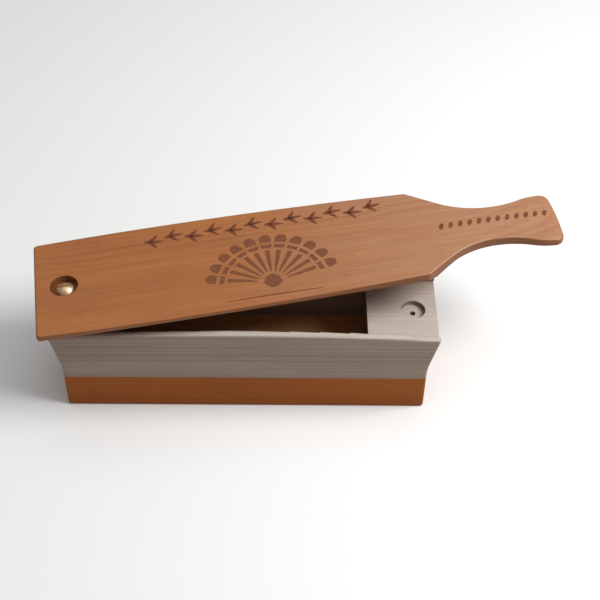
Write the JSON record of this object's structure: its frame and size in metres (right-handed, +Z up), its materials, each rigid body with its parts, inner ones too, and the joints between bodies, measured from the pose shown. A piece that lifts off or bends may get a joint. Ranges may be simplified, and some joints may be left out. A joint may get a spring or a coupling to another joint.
{
  "type": "box turkey call",
  "caption": "Hand-held wooden box call: raked sound box with crowned lips under a swinging paddle lid on a sprung pivot screw.",
  "frame": {"origin": "centre of the base board's underside, where the call rests", "axes": "+Z up, +X along the box from the pivot end to the handle end, +Y towards the back lip"},
  "size_m": [0.2774, 0.094, 0.0793],
  "materials": {
    "cherry_lid": "oiled cherry, sanded, with burned-in marks",
    "cherry_base": "oiled dark cherry, sanded",
    "poplar": "pale poplar, sanded and lightly oiled",
    "brass": "turned brass, dulled",
    "spring_steel": "drawn spring wire"
  },
  "bodies": {
    "box": {"base_board": "cherry_base", "front_side_board": "poplar", "back_side_board": "poplar", "pivot_end_block": "poplar", "handle_end_block": "poplar", "lower_spring_washer": "brass"},
    "screw_seat": {"screw_washer": "brass"},
    "screw": {"pivot_screw": "brass"},
    "spring_carrier": {"lid_spring": "spring_steel"},
    "paddle": {"lid": "cherry_lid", "upper_spring_washer": "brass"}
  },
  "joints": [
    {"name": "screw_rise", "type": "slide", "parent": "box", "child": "screw_seat", "axis": [0, 0, 1], "range_m": [0, 0.00084], "deforming": ["lid_spring"]},
    {"name": "screw_turn", "type": "hinge", "parent": "screw_seat", "child": "screw", "pos_m": [-0.0922, 0, 0.06], "axis": [0, 0, 1], "range_deg": [0, 180]},
    {"name": "lid_swing", "type": "hinge", "parent": "screw_seat", "child": "spring_carrier", "pos_m": [-0.0922, 0, 0.058], "axis": [0, 0, 1], "continuous": true},
    {"name": "lid_lift", "type": "hinge", "parent": "spring_carrier", "child": "paddle", "pos_m": [-0.08756, 0.00073, 0.06024], "axis": [0.1547, -0.988, 0], "range_deg": [0, 3]}
  ],
  "couplings": [
    {"joint": "screw_turn", "follows": "screw_rise", "rad_per_m": 3696}
  ]
}
